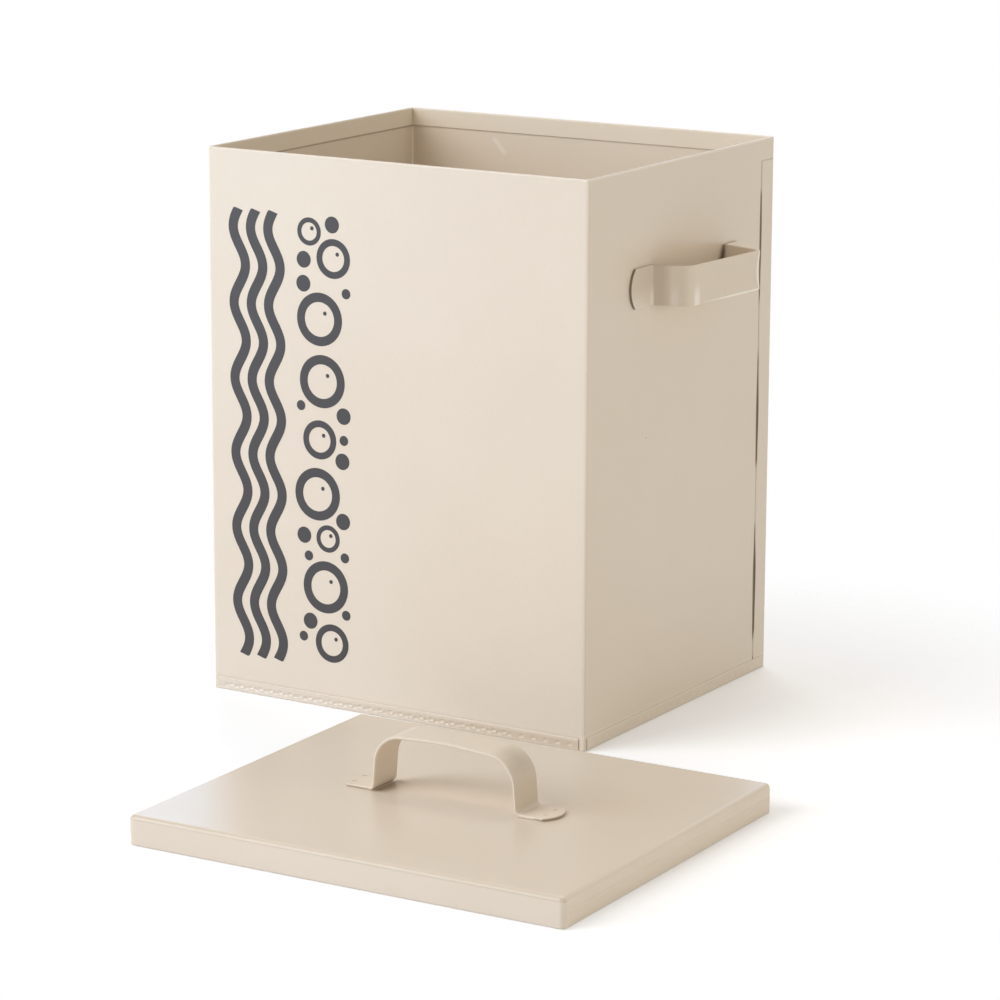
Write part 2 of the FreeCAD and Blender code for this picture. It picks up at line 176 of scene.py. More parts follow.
def ripple(tree, place, size, detail, height, over=None):
    """Bumps of a size and a height, which may lie over other bumps."""
    inputs = {"Height": noise(tree, place, size, detail), "Strength": 1.0, "Distance": height}
    if over is not None:
        inputs["Normal"] = over
    return add_node(tree, "Bump", inputs).outputs[0]


def new_finish(name):
    """An empty material: it, its tree, its shader, and the place on the object."""
    finish = bpy.data.materials.new(name)
    finish.use_nodes = True
    tree = finish.node_tree
    place = add_node(tree, "TexCoord").outputs["Object"]
    return finish, tree, tree.nodes["Principled BSDF"], place


# %% [markdown]
# ## The floor and the white surroundings
#
# The floor is one pale sheet that reaches far behind the box, so there is no horizon line. Close to
# the box it is real: it takes the box's soft shadow and throws light up at the walls. Further out it
# dissolves into the white of the surroundings. To the eye and in reflections the surroundings are
# plain white, but they light the box at only two fifths of that, or every side would look flat.

# %% Lay the floor
FLOOR_HALF_SIZE = 4.0
FLOOR_DROP = 0.1 * MM               # so that it shares no plane with the steel that stands on it

floor_mesh = bpy.data.meshes.new("floor")
shape = bmesh.new()
bmesh.ops.create_grid(shape, x_segments=1, y_segments=1, size=FLOOR_HALF_SIZE)
bmesh.ops.translate(shape, verts=shape.verts, vec=(0, 0, -FLOOR_DROP))
shape.to_mesh(floor_mesh)
shape.free()
floor = bpy.data.objects.new("floor", floor_mesh)
bpy.context.scene.collection.objects.link(floor)
print("floor is", 2 * FLOOR_HALF_SIZE, "m wide")

# %% Paint the floor
SHADOW_MIDDLE = Vector((0.04, -0.1, 0))     # between the box and the lid
SHADOW_NEAR = 0.16                  # up to this far from there the floor is real
SHADOW_FAR = 0.38                   # and from here on it has dissolved
FLOOR_BOUNCE = 0.8                  # share of the light that it throws back at the box
FLOOR_LIFT = 0.16                   # glow that brings it up to white for the eye


def seen(tree, *rays):
    """1 for light rays of the kinds named, and 0 for all others."""
    kinds = add_node(tree, "LightPath").outputs
    shown = kinds[rays[0]]
    for ray in rays[1:]:
        shown = maths(tree, "ADD", shown, kinds[ray], clamp=True)
    return shown


finish, tree, shader, place = new_finish("white_floor")
tree.nodes.remove(shader)
shown = seen(tree, "Is Camera Ray", "Is Glossy Ray")
paper = add_node(tree, "BsdfDiffuse", {"Color": spread(tree, shown, 0, 1, FLOOR_BOUNCE, 1)})
glow = add_node(tree, "Emission", {"Color": (1, 1, 1, 1),
                                   "Strength": maths(tree, "MULTIPLY", shown, FLOOR_LIFT)})
real = add_node(tree, "AddShader", {0: paper.outputs[0], 1: glow.outputs[0]})
clear = add_node(tree, "BsdfTransparent")
faded = spread(tree, distance_to(tree, place, SHADOW_MIDDLE), SHADOW_NEAR, SHADOW_FAR, smooth=True)
surface = add_node(tree, "MixShader", {0: maths(tree, "MULTIPLY", faded, shown),
                                       1: real.outputs[0], 2: clear.outputs[0]})
tree.links.new(surface.outputs[0], tree.nodes["Material Output"].inputs["Surface"])
floor.data.materials.append(finish)
print("floor is real up to", SHADOW_NEAR, "m and gone from", SHADOW_FAR, "m")

# %% Make the surroundings white
SKY_LIGHT = 0.39

world = bpy.data.worlds.new("white_studio")
bpy.context.scene.world = world
world.use_nodes = True
tree = world.node_tree
shown = seen(tree, "Is Camera Ray", "Is Glossy Ray", "Is Transmission Ray")
background = tree.nodes["Background"]
background.inputs["Color"].default_value = (1, 1, 1, 1)
tree.links.new(spread(tree, shown, 0, 1, SKY_LIGHT, 1), background.inputs["Strength"])
bpy.context.scene.view_settings.view_transform = "Standard"
print("surroundings light the box at", SKY_LIGHT)

# %% [markdown]
# ## Studio lamps
#
# Large soft panels stand round the box, as in a room with one big window. Most of the light comes
# from the left: the key panel from above, and a cooler one close to the horizon. None of it reaches
# the right wall directly, so that wall and all that stands on it keep their own soft shading. A
# weaker, warmer panel low on the right keeps it beige rather than grey. That panel is hidden from
# reflections, or the lid would glare when it is seen against it from the left. Two panels behind
# the box finish the picture: one low, whose cool reflection pales the lid's left corner, and one
# high, which brightens the lid and throws light down into the box.

# %% Hang the lamps
LAMP_AIM = Vector((0.04, -0.1, 0.12))


def hang_lamp(name, azimuth, elevation, distance, size, watts, tint):
    """A square panel that faces the box."""
    panel = bpy.data.lights.new(name, "AREA")
    panel.shape = "SQUARE"
    panel.size = size
    panel.energy = watts
    panel.color = tint
    lamp = bpy.data.objects.new(name, panel)
    towards = direction_to(azimuth, elevation)
    lamp.location = LAMP_AIM + distance * towards
    lamp.rotation_euler = towards.to_track_quat("Z", "Y").to_euler()
    bpy.context.scene.collection.objects.link(lamp)
    print(name, "hangs at", [round(value, 2) for value in lamp.location])
    return lamp


hang_lamp("key", azimuth=-35, elevation=35, distance=2.4, size=1.5, watts=29.0, tint=(0.99, 1.0, 1.02))
hang_lamp("left_low", azimuth=-50, elevation=8, distance=2.4, size=1.5, watts=21.2,
          tint=(0.76, 0.97, 1.27))
right_low = hang_lamp("right_low", azimuth=90, elevation=6, distance=1.5, size=0.9, watts=5.4,
                      tint=(1.10, 1.04, 0.86))
right_low.visible_glossy = False
hang_lamp("back_left", azimuth=-150, elevation=14, distance=1.8, size=1.0, watts=3.0,
          tint=(0.45, 0.95, 1.60))
hang_lamp("over_back", azimuth=-160, elevation=60, distance=1.6, size=0.8, watts=6.2,
          tint=(1.12, 1.0, 0.88))

# %% [markdown]
# ## The enamel
#
# Stoved enamel on steel is smooth but never perfectly so. Sprayed paint dries with a fine ripple,
# like orange peel, which softens every reflection. The sheet under it is thin, so the walls are very
# slightly wavy. The colour itself hardly changes, only a little from one hand's breadth to the next
# and in fine specks. One function makes this paint for all pieces, and the straps, which are handled
# most, get a little more of its dusty tone.

# %% Paint recipe
ENAMEL = colour(229, 214, 195)
ENAMEL_DUSTY = colour(220, 204, 183)
BLOTCH_SIZE = 70 * MM
BLOTCH_DEPTH = 0.25                 # share of the dusty tone that comes and goes
BLOTCH_SPAN = 0.15
SPECK_SIZE = 1.2 * MM
SPECK_DEPTH = 0.007                 # how much lighter or darker a speck is
GLOSS_SIZE = BLOTCH_SIZE / 3
ENAMEL_ROUGHNESS = (0.28, 0.34)     # from the glossiest spots to the dullest
ENAMEL_IOR = 1.5
PEEL_SIZE = 1.6 * MM
PEEL_HEIGHT = 0.003 * MM
SWELL_SIZE = 60 * MM
SWELL_HEIGHT = 0.08 * MM


def enamel(name, dust_and_shade=0.0):
    """Satin paint. dust_and_shade is how far its colour has moved to the dusty tone."""
    finish, tree, shader, place = new_finish(name)
    blotches = drift(tree, place, BLOTCH_SIZE, 3, dust_and_shade, dust_and_shade + BLOTCH_DEPTH, BLOTCH_SPAN)
    specks = drift(tree, place, SPECK_SIZE, 1, 1 - SPECK_DEPTH, 1 + SPECK_DEPTH)
    tone = scaled(tree, blended(tree, blotches, ENAMEL, ENAMEL_DUSTY), specks)
    peel = ripple(tree, place, PEEL_SIZE, 1, PEEL_HEIGHT)
    swell = ripple(tree, place, SWELL_SIZE, 0, SWELL_HEIGHT, over=peel)
    tree.links.new(drift(tree, place, GLOSS_SIZE, 4, *ENAMEL_ROUGHNESS), shader.inputs["Roughness"])
    tree.links.new(swell, shader.inputs["Normal"])
    shader.inputs["IOR"].default_value = ENAMEL_IOR
    return finish, tree, place, tone


print("a blotch of enamel is", round(BLOTCH_SIZE / MM), "mm across")

# %% [markdown]
# ## How marks are drawn
#
# Some marks are real: dirt in the joint, a speck, and a scratch from a scoop on the inside. Others
# are painted shade in joints, corners and hollows, and painted highlights on bends and edges. Each
# mark has a mask, a number that is 1 on the mark and 0 elsewhere, worked out from the place on the
# object or from the way the surface faces. Through the mask, weakened by the mark's strength, a
# second colour is laid over the enamel. So a piece's marks are a list, and each mark is its mask,
# its strength and its colour.

# %% Lay marks on a piece
# Dark brown of the speck, of painted shade in corners, under the hem and by the lid's handle, and of the
# handles' dark cut edges
DIRT_AND_SHADE = colour(66, 47, 6)
# Olive brown of painted shade and shadow on the straps and the lid's handle, and of the painted shadow beside
# it on the lid
OLIVE_SHADE = colour(128, 104, 70)
# Pale tone of the scuff inside, of the painted highlights and painted light on bends and edges, and of the
# seam's paler half
PALE_WEAR_AND_HIGHLIGHT = colour(252, 242, 230)


def coat(piece_name, finish, tone, marks):
    """Lays the marks over the enamel's tone, one after another, and paints a steel piece."""
    tree = finish.node_tree
    for mask, strength, stain in marks:
        tone = blended(tree, maths(tree, "MULTIPLY", mask, strength), tone, stain)
    tree.links.new(tone, tree.nodes["Principled BSDF"].inputs["Base Color"])
    steel[piece_name].material_slots[0].material = finish
    print(piece_name, "wears", finish.name, "with", len(marks), "marks")


# %% Masks for marks
EDGE_SOFTNESS = 0.2 * MM            # over which a mask fades, where nothing else is said
TURN = 0.2                          # the same, where a mask ends as the surface turns away


def band(tree, value, middle, half_width, softness):
    """1 where a value is within half_width of the middle, fading to 0 over the softness."""
    away = maths(tree, "ABSOLUTE", maths(tree, "SUBTRACT", value, middle))
    past = maths(tree, "SUBTRACT", away, half_width)
    return spread(tree, past, 0, softness, 1, 0, smooth=True)


def all_of(tree, *masks):
    """1 only where every mask is 1."""
    joined = masks[0]
    for mask in masks[1:]:
        joined = maths(tree, "MULTIPLY", joined, mask)
    return joined


def above(tree, value, level, softness=EDGE_SOFTNESS):
    """1 above a level."""
    return spread(tree, value, level, level + softness)


def below(tree, value, level, softness=EDGE_SOFTNESS):
    """1 below a level."""
    return spread(tree, value, level - softness, level, 1, 0)


def coordinates(tree, place):
    """The place's X, Y and Z."""
    return add_node(tree, "SeparateXYZ", {0: place}).outputs


def surface_normal(tree):
    """The direction in which the surface faces."""
    return add_node(tree, "NewGeometry").outputs["Normal"]


def facing(tree):
    """X, Y and Z of that direction: 1 faces straight along an axis, and -1 straight against it."""
    return coordinates(tree, surface_normal(tree))


# %% [markdown]
# ## Marks on the box
#
# The upright joint on the right wall is drawn as a dark line: painted shade of the gap between the two
# sheets, with dirt in it. Between the weld spots the sheets part by a hair, and there the line is wide
# and nearly black, while at the spots it closes to a pale scratch. The line's width changes along the
# joint, and a colour ramp is the handiest way to draw such a run of values along one axis: its stops
# are heights, and its grey levels are widths. A short level line of painted shade at the top of the
# joint ends it.

# %% Draw the painted shade and dirt in the joint
body_low, body_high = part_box("body_shell")
JOINT_SETBACK = 11.85 * MM          # from the back face to the middle of the dark line
JOINT_DEPTH = 1.5 * MM              # the dark line stays this near to the wall's outer face
JOINT_HEAD = 230.5 * MM             # height of its top end
JOINT_HALF_WIDTH = 1.15 * MM        # at its widest
JOINT_SOFTNESS = 0.3 * MM
# Heights on the joint, and the share of its full width that the dark line has there
JOINT_STOPS = [(3 * MM, 0), (4.5 * MM, 0.3), (12 * MM, 0.22), (21 * MM, 0.8), (46 * MM, 1.0),
               (64 * MM, 0.5), (72 * MM, 0.16), (90 * MM, 0.18), (99 * MM, 0.7), (118 * MM, 0.9),
               (140 * MM, 0.55), (150 * MM, 0.24), (164 * MM, 0.24), (174 * MM, 0.55),
               (200 * MM, 0.75), (214 * MM, 0.6), (220 * MM, 0.28), (JOINT_HEAD, 0.2)]
JOINT_SHADE_AND_DIRT = colour(104, 82, 42)
HEAD_LINE_HALF_WIDTH = 0.2 * MM
HEAD_LINE_STRENGTH = 0.15


def profile_along(tree, value, length, stops):
    """A value that changes along an axis, from (place, value) stops, smoothly between them."""
    ramp = add_node(tree, "ValToRGB", {"Fac": maths(tree, "DIVIDE", value, length)})
    ramp.color_ramp.interpolation = "EASE"
    points = ramp.color_ramp.elements
    for at, level in stops:
        points.new(at / length).color = (level, level, level, 1)
    points.remove(points[0])
    points.remove(points[-1])
    return ramp.outputs["Color"]


def joint_shade_and_dirt(tree, place):
    """Marks of the painted shade and dirt in the upright joint and in the level line at its head."""
    at = coordinates(tree, place)
    middle = body_high.y - JOINT_SETBACK
    outside = all_of(tree, above(tree, at["X"], body_high.x - JOINT_DEPTH),
                     above(tree, facing(tree)["X"], -0.3, TURN))
    width = profile_along(tree, at["Z"], body_high.z, JOINT_STOPS)
    width = maths(tree, "MULTIPLY", width, JOINT_HALF_WIDTH)
    upright = all_of(tree, outside, band(tree, at["Y"], middle, width, JOINT_SOFTNESS),
                     above(tree, width, 0, softness=0.1 * MM), below(tree, at["Z"], JOINT_HEAD))
    level = all_of(tree, outside, band(tree, at["Z"], JOINT_HEAD, HEAD_LINE_HALF_WIDTH, JOINT_SOFTNESS),
                   above(tree, at["Y"], middle))
    # painted shade of the joint's gap, with dirt in it, and a line of painted shade at its head
    return [(upright, 1, JOINT_SHADE_AND_DIRT), (level, HEAD_LINE_STRENGTH, JOINT_SHADE_AND_DIRT)]


print("the joint's dirt is up to", round(2 * (JOINT_HALF_WIDTH + JOINT_SOFTNESS) / MM, 2), "mm wide")

# %% [markdown]
# Painted shade also darkens the corner between the wall and the back leg of each side handle, where
# the strap keeps the light off the wall. It is widest at the bottom of the strap and narrows upwards,
# so its edge slants. Both walls wear the same paint, and the distance from the middle of the box
# serves left and right.

# %% Draw the painted shade behind the side handles
strap_low, strap_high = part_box("side_handle_right")
strap_middle = (strap_low.z + strap_high.z) / 2
strap_half_width = (strap_high.z - strap_low.z) / 2
BACK_LEG = 34.8 * MM                # where its back leg meets the wall
CORNER_SHADE_REACH = 8 * MM                # at the height of the strap's middle
CORNER_SHADE_SLANT = 0.6                   # how much shorter it gets for each step up
CORNER_SHADE_MARGIN = 1.5 * MM             # from its top and bottom to the strap's edges
CORNER_SHADE_SOFTNESS = 2.5 * MM
CORNER_SHADE_STRENGTH = 0.8


def corner_shade(tree, place):
    """The mark of the painted shade in the corner between the wall and each handle's back leg."""
    at = coordinates(tree, place)
    outside = above(tree, maths(tree, "ABSOLUTE", at["X"]), body_high.x - 0.3 * MM)
    rise = maths(tree, "SUBTRACT", at["Z"], strap_middle)
    slanted = maths(tree, "SUBTRACT", at["Y"], maths(tree, "MULTIPLY", rise, CORNER_SHADE_SLANT))
    near = spread(tree, slanted, BACK_LEG - CORNER_SHADE_REACH, BACK_LEG - CORNER_SHADE_REACH / 3, smooth=True)
    height = band(tree, at["Z"], strap_middle, strap_half_width - CORNER_SHADE_MARGIN, CORNER_SHADE_SOFTNESS)
    mask = all_of(tree, outside, near, height, below(tree, at["Y"], BACK_LEG + 0.4 * MM))
    # painted shade in the corner by the back leg
    return [(mask, CORNER_SHADE_STRENGTH, DIRT_AND_SHADE)]


print("grime starts", CORNER_SHADE_REACH / MM, "mm before the leg")

# %% [markdown]
# A scoop has left a faint pale scuff high on the inside of the back wall, and one speck sits in the
# paint of the right wall. The scuff is drawn as a stroke: how far a place lies to the side of a
# straight line gives its width, and how far along the line gives its soft ends.

# %% Draw the scuff and the speck
BACK_RIM = Vector((0, body_high.y - 0.6 * MM, body_high.z))     # inside, at its middle
SCUFF_START = BACK_RIM + Vector((-50.6, 0, -10.2)) * MM
SCUFF_END = BACK_RIM + Vector((-42.6, 0, -19.0)) * MM
SCUFF_HALF_WIDTH = 0.55 * MM
SCUFF_SOFTNESS = 1.0 * MM
SCUFF_STRENGTH = 0.46
STROKE_FADE = 0.4                   # share of each half of a stroke over which it fades
SPECK_PLACE = Vector((body_high.x, -31 * MM, 125 * MM))
SPECK_RADIUS = 0.45 * MM
SPECK_CORE = 0.4                    # share of its radius that is fully dark
SPECK_STRENGTH = 0.6


def stroke(tree, place, start, end, half_width, softness):
    """Mask of a straight stroke between two places, fading towards its ends."""
    along = (end - start).normalized()
    offset = add_node(tree, "VectorMath", {0: place, 1: start}, operation="SUBTRACT").outputs[0]
    run = add_node(tree, "VectorMath", {0: offset, 1: along}, operation="DOT_PRODUCT").outputs["Value"]
    aside = distance_to(tree, offset, scaled(tree, along, run))
    half_length = (end - start).length / 2
    ends = band(tree, run, half_length, half_length * (1 - STROKE_FADE), half_length * STROKE_FADE)
    return all_of(tree, spread(tree, aside, half_width, half_width + softness, 1, 0, smooth=True), ends)


def paint_flaws(tree, place):
    """Marks of the scuff on the inside and of the speck on the outside."""
    scuff = stroke(tree, place, SCUFF_START, SCUFF_END, SCUFF_HALF_WIDTH, SCUFF_SOFTNESS)
    inwards = below(tree, facing(tree)["Y"], 0, softness=0.5)
    away = distance_to(tree, place, SPECK_PLACE)
    speck = spread(tree, away, SPECK_RADIUS * SPECK_CORE, SPECK_RADIUS, 1, 0, smooth=True)
    return [(all_of(tree, scuff, inwards), SCUFF_STRENGTH, PALE_WEAR_AND_HIGHLIGHT), (speck, SPECK_STRENGTH, DIRT_AND_SHADE)]


print("the scuff is", round((SCUFF_END - SCUFF_START).length / MM, 1), "mm long")

# %% [markdown]
# Inside, painted light makes the walls a little paler than outside, the folded hem most of all, and
# a line of painted shade lies under the hem's edge on the left. A face of the box looks inwards where
# its direction points back towards the middle, and the dot product of place and direction tells that
# for all four walls at once: it is positive outside and negative inside.

# %% Draw the marks inside
# colour of the painted light inside the box and on its hem
INSIDE_LIGHT = colour(252, 240, 215)
INSIDE_LIGHT_STRENGTH = 0.16
INWARDS = -40 * MM                  # a dot product below this is an inner face
HEM_DEPTH = 8.0 * MM
HEM_LIGHT_STRENGTH = 0.22
HEM_SHADE_DROP = 0.45 * MM           # from the hem's edge down to the middle of the painted shade
HEM_SHADE_HALF_WIDTH = 0.25 * MM
HEM_SHADE_SOFTNESS = 0.3 * MM
HEM_SHADE_STRENGTH = 0.4


def inside_marks(tree, place):
    """Marks of the painted light inside and on the hem, and of the painted shade under its edge on the left.
    """
    at = coordinates(tree, place)
    outwards = add_node(tree, "VectorMath", {0: place, 1: surface_normal(tree)}, operation="DOT_PRODUCT")
    inside = below(tree, outwards.outputs["Value"], INWARDS, softness=-INWARDS / 2)
    edge = body_high.z - HEM_DEPTH
    hem = all_of(tree, inside, above(tree, at["Z"], edge))
    left = all_of(tree, below(tree, at["X"], body_low.x + 2 * MM), above(tree, facing(tree)["X"], 0.4, TURN))
    line = band(tree, at["Z"], edge - HEM_SHADE_DROP, HEM_SHADE_HALF_WIDTH, HEM_SHADE_SOFTNESS)
    # painted light inside and on the hem, painted shade under the hem's edge
    return [(inside, INSIDE_LIGHT_STRENGTH, INSIDE_LIGHT), (hem, HEM_LIGHT_STRENGTH, INSIDE_LIGHT),
            (all_of(tree, left, line), HEM_SHADE_STRENGTH, DIRT_AND_SHADE)]


print("the hem is", HEM_DEPTH / MM, "mm deep")

# %% [markdown]
# Where the steel bends sharply it catches the light, and paler paint stands for that: painted
# highlights along the rims of the side walls and down the two front corners, and painted light in the
# side walls' crease above the seam, which lifts the crease's shade. A corner's bend is found by the
# way it faces, between straight forwards and straight sideways.
#
# Such painted highlights lie in lines, on the box and on the handles. A line is written as its
# middle, half its width, and how far it fades, so that it can be handed to `band` in one go.

# %% Draw the painted highlights on the edges
plate_low, plate_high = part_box("bottom_plate")
crease_height = plate_high.z + 0.5 * MM
CREASE_LINE = (crease_height, 0.5 * MM, 0.4 * MM)
CORNER_BEND = (-0.75, 0.15, 0.12)   # in Y of the direction in which it faces
RIM_DEPTH = 1.0 * MM
RIM_STRENGTH = 0.3
CORNER_STRENGTH = 0.5
CREASE_STRENGTH = 0.18


def painted_edge_light(tree, place):
    """Painted highlights on the side rims and the front corners, and painted light in the creases above the
    bottom seam's sides.
    """
    at = coordinates(tree, place)
    side = above(tree, maths(tree, "ABSOLUTE", at["X"]), body_high.x - 2 * MM)
    rim = all_of(tree, side, above(tree, at["Z"], body_high.z - RIM_DEPTH, softness=0.3 * MM))
    corner = all_of(tree, side, band(tree, facing(tree)["Y"], *CORNER_BEND),
                    below(tree, at["Z"], body_high.z - RIM_DEPTH))
    crease = all_of(tree, side, band(tree, at["Z"], *CREASE_LINE))
    # painted highlights on rims and corners, painted light in the creases
    return [(rim, RIM_STRENGTH, PALE_WEAR_AND_HIGHLIGHT), (corner, CORNER_STRENGTH, PALE_WEAR_AND_HIGHLIGHT),
            (crease, CREASE_STRENGTH, PALE_WEAR_AND_HIGHLIGHT)]


print("crease above the seam at", round(crease_height / MM, 1), "mm")

# %% Paint the box
finish, tree, place, tone = enamel("body_enamel")
coat("body_shell", finish, tone, [*painted_edge_light(tree, place), *inside_marks(tree, place),
                                  *paint_flaws(tree, place), *corner_shade(tree, place),
                                  *joint_shade_and_dirt(tree, place)])

# %% [markdown]
# ## Wear on the side handles
#
# Each handle was bent by hand from one strap. Its bends catch the light, and painted highlights stand
# for that: on the bends of the front leg, low down on the strap, along the lower edge of the grip and
# round its back bend. Painted shadow darkens the front foot, which the grip shades, and painted shade
# the hollow above it, and the cut edges of both feet are painted dark. The two handles mirror each
# other, so distances from the wall are measured outwards on both sides, and one function marks both.

# %% Measures of the painted highlights and shade on the side handles
STRAP_DUST = 0.15
FRONT_LEG = -20 * MM                # the front leg and its foot lie in front of this Y
FRONT_FOOT = -26 * MM               # and the foot in front of this
GRIP_OUT = 13 * MM                  # the grip lies further out than this
FOOT_OUT = 1.2 * MM                 # outer face of the feet
HIGHLIGHT_FADE = (3 * MM, 10 * MM)         # up from the strap's lower edge, where the painted highlights fade
HOLLOW = (3.4 * MM, 1.6 * MM, 5 * MM)           # out from the wall
FOOT_CREASE = (1.7 * MM, 0.2 * MM, 0.6 * MM)    # out from the wall
LEG_BEND = (10.6 * MM, 0.6 * MM, 1.6 * MM)      # out from the wall
FRONT_BEND = (-19.6 * MM, 0.7 * MM, 2.2 * MM)   # in Y, where the grip begins
BACK_BEND = (26.4 * MM, 0.35 * MM, 0.5 * MM)    # in Y, at the strap's middle
BACK_BEND_BOW = 2.3 * MM            # how much further back that line lies at the strap's edges
LOW_EDGE = 1.0 * MM                 # height of the painted highlight along the lower edge
LOW_EDGE_FADE = (-14 * MM, 6 * MM)  # in Y, from where the lower edge has no highlight to where it is full
HOLLOW_STRENGTH = 0.22
FRONT_FOOT_STRENGTH = 0.14
CUT_EDGE_STRENGTH = 0.7
FRONT_BEND_STRENGTH = 0.8
LEG_BEND_STRENGTH = 0.32
FOOT_CREASE_STRENGTH = 0.5
print("the straps are", round(2 * strap_half_width / MM, 1), "mm wide")


# %% Draw the painted highlights and shade on the side handles
def strap_marks(tree, place):
    """Marks of a side handle's painted shade and shadow, its dark cut edges, and the painted highlights on
    its bends.
    """
    at = coordinates(tree, place)
    out = maths(tree, "SUBTRACT", maths(tree, "ABSOLUTE", at["X"]), body_high.x)
    up = maths(tree, "SUBTRACT", at["Z"], strap_low.z)
    on_front_leg = below(tree, at["Y"], FRONT_LEG)
    on_grip = above(tree, out, GRIP_OUT, softness=1 * MM)
    lower_half = spread(tree, up, *HIGHLIGHT_FADE, 1, 0, smooth=True)
    hollow = all_of(tree, band(tree, out, *HOLLOW), above(tree, out, FOOT_OUT, softness=1 * MM),
                    on_front_leg)
    front_foot = all_of(tree, below(tree, at["Y"], FRONT_FOOT, softness=4 * MM),
                        below(tree, out, 2 * FOOT_OUT, softness=0.8 * MM))
    cut_edge = all_of(tree, below(tree, maths(tree, "ABSOLUTE", facing(tree)["X"]), 0.5, TURN),
                      below(tree, out, FOOT_OUT + 0.1 * MM))
    front_bend = all_of(tree, band(tree, at["Y"], *FRONT_BEND), on_grip, lower_half)
    leg_bend = all_of(tree, band(tree, out, *LEG_BEND), on_front_leg, lower_half)
    foot_crease = all_of(tree, band(tree, out, *FOOT_CREASE), on_front_leg, lower_half)
    off_middle = maths(tree, "DIVIDE", maths(tree, "SUBTRACT", up, strap_half_width), strap_half_width)
    bow = maths(tree, "MULTIPLY", maths(tree, "MULTIPLY", off_middle, off_middle), BACK_BEND_BOW)
    back_bend = all_of(tree, band(tree, maths(tree, "SUBTRACT", at["Y"], bow), *BACK_BEND), on_grip)
    low_edge = all_of(tree, below(tree, up, LOW_EDGE, softness=0.35 * MM), on_grip,
                      spread(tree, at["Y"], *LOW_EDGE_FADE))
    # painted shade in the hollow, painted shadow on the front foot, dark cut edges, painted highlights on
    # bends and lower edge
    return [(hollow, HOLLOW_STRENGTH, OLIVE_SHADE), (front_foot, FRONT_FOOT_STRENGTH, OLIVE_SHADE),
            (cut_edge, CUT_EDGE_STRENGTH, DIRT_AND_SHADE), (front_bend, FRONT_BEND_STRENGTH, PALE_WEAR_AND_HIGHLIGHT),
            (leg_bend, LEG_BEND_STRENGTH, PALE_WEAR_AND_HIGHLIGHT), (back_bend, 1, PALE_WEAR_AND_HIGHLIGHT), (low_edge, 1, PALE_WEAR_AND_HIGHLIGHT),
            (foot_crease, FOOT_CREASE_STRENGTH, PALE_WEAR_AND_HIGHLIGHT)]


# %% Paint the side handles
for piece_name in ("side_handle_left", "side_handle_right"):
    finish, tree, place, tone = enamel(piece_name + "_enamel", STRAP_DUST)
    coat(piece_name, finish, tone, strap_marks(tree, place))

# %% [markdown]
# ## Wear on the lid's handle
#
# The lid's handle is the same strap, and the cut edges of its feet are painted dark too. The outer
# face of its right leg is darkened with painted shade, and so is a soft patch on the shoulder above
# it. Places are measured from the middle of the handle, on the face of the lid.

# %% Paint the lid's handle
bow_low, bow_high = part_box("lid_handle")
bow_foot = Vector(((bow_low.x + bow_high.x) / 2, (bow_low.y + bow_high.y) / 2, bow_low.z))
LEFT_FOOT = -33 * MM                # its left foot lies to the left of this
RIGHT_FOOT = 40 * MM                # and its right foot to the right of this
CUT_EDGE_TOP = 0.9 * MM             # the dark paint on their cut edges stays below this
SHOULDER_SHADE_AT = Vector((26.5, 1.5, 21.5)) * MM
SHOULDER_SHADE_RADIUS = 11 * MM
SHOULDER_SHADE_STRENGTH = 0.2
RIGHT_LEG_STRENGTH = 0.24
BOW_CUT_EDGE_STRENGTH = 0.55


def bow_marks(tree, place):
    """Marks of the painted shade on the lid handle's right leg and shoulder, and of its dark cut edges."""
    at, faces = coordinates(tree, place), facing(tree)
    rise = maths(tree, "SUBTRACT", at["Z"], bow_foot.z)
    along = maths(tree, "SUBTRACT", at["X"], bow_foot.x)
    feet = maths(tree, "ADD", below(tree, along, LEFT_FOOT, softness=2 * MM),
                 above(tree, along, RIGHT_FOOT, softness=2 * MM))
    cut_edge = all_of(tree, below(tree, maths(tree, "ABSOLUTE", faces["Z"]), 0.5, TURN),
                      below(tree, rise, CUT_EDGE_TOP), feet)
    # painted shade on the right leg's outer face and on the shoulder, dark cut edges on the feet
    right_leg = all_of(tree, spread(tree, faces["X"], 0.3, 0.9, smooth=True), above(tree, along, 0))
    away = distance_to(tree, place, bow_foot + SHOULDER_SHADE_AT)
    shoulder_shade = spread(tree, away, 0, SHOULDER_SHADE_RADIUS, 1, 0, smooth=True)
    return [(right_leg, RIGHT_LEG_STRENGTH, OLIVE_SHADE), (shoulder_shade, SHOULDER_SHADE_STRENGTH, OLIVE_SHADE),
            (cut_edge, BOW_CUT_EDGE_STRENGTH, DIRT_AND_SHADE)]


finish, tree, place, tone = enamel("lid_handle_enamel", STRAP_DUST)
coat("lid_handle", finish, tone, bow_marks(tree, place))

# %% [markdown]
# ## Wear on the lid
#
# Painted shadow lies under the handle, in the corner by its left leg, darkest there and fading away
# from it. The top is painted darker towards its right end. The round edge along the front faces the
# key light, and painted shade darkens it there, so it catches no more light than the faces beside it.

# %% Paint the lid
lid_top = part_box("lid_shell")[1].z
LEFT_LEG = -31.5 * MM               # from the middle of the lid's handle
SOFT_SHADOW_REACH = 13 * MM
SOFT_SHADOW_STRENGTH = 0.5
DARK_SHADOW_REACH = 7 * MM
DARK_SHADOW_STRENGTH = 0.9
LEG_LINE = (bow_foot.y, 6.5 * MM, 4 * MM)
